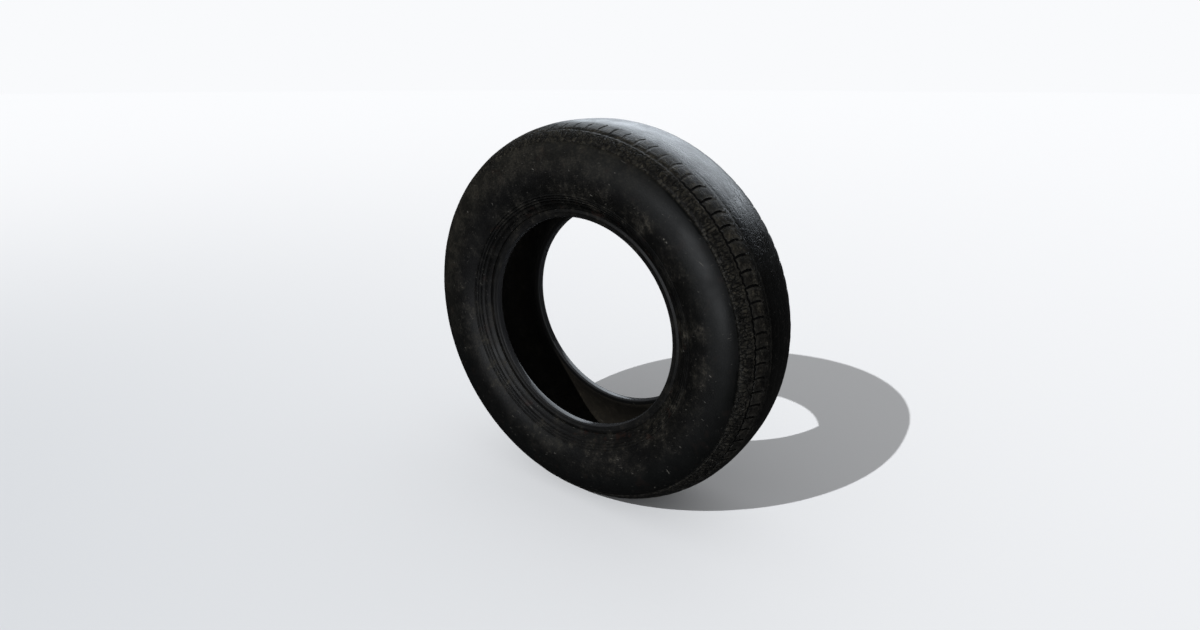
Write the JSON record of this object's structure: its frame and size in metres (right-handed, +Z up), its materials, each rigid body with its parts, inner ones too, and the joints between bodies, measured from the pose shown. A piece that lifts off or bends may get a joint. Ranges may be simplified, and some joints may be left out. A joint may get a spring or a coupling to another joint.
{
  "type": "old worn car tyre",
  "caption": "Worn car tyre with no rim: a hollow rubber ring with a smooth worn tread, bulging sidewalls and two beads, standing on its tread.",
  "frame": {"origin": "centre of the wheel, where the wheel axis crosses the middle plane of the tread", "axes": "+Y along the wheel axis, +Z up from the flat spot that the tyre stands on, +X along the ground"},
  "size_m": [0.5938, 0.17, 0.5919],
  "materials": {
    "worn_rubber": "worn moulded black rubber, dusty on the sidewall"
  },
  "bodies": {
    "root": {"tyre": "worn_rubber"}
  },
  "joints": []
}
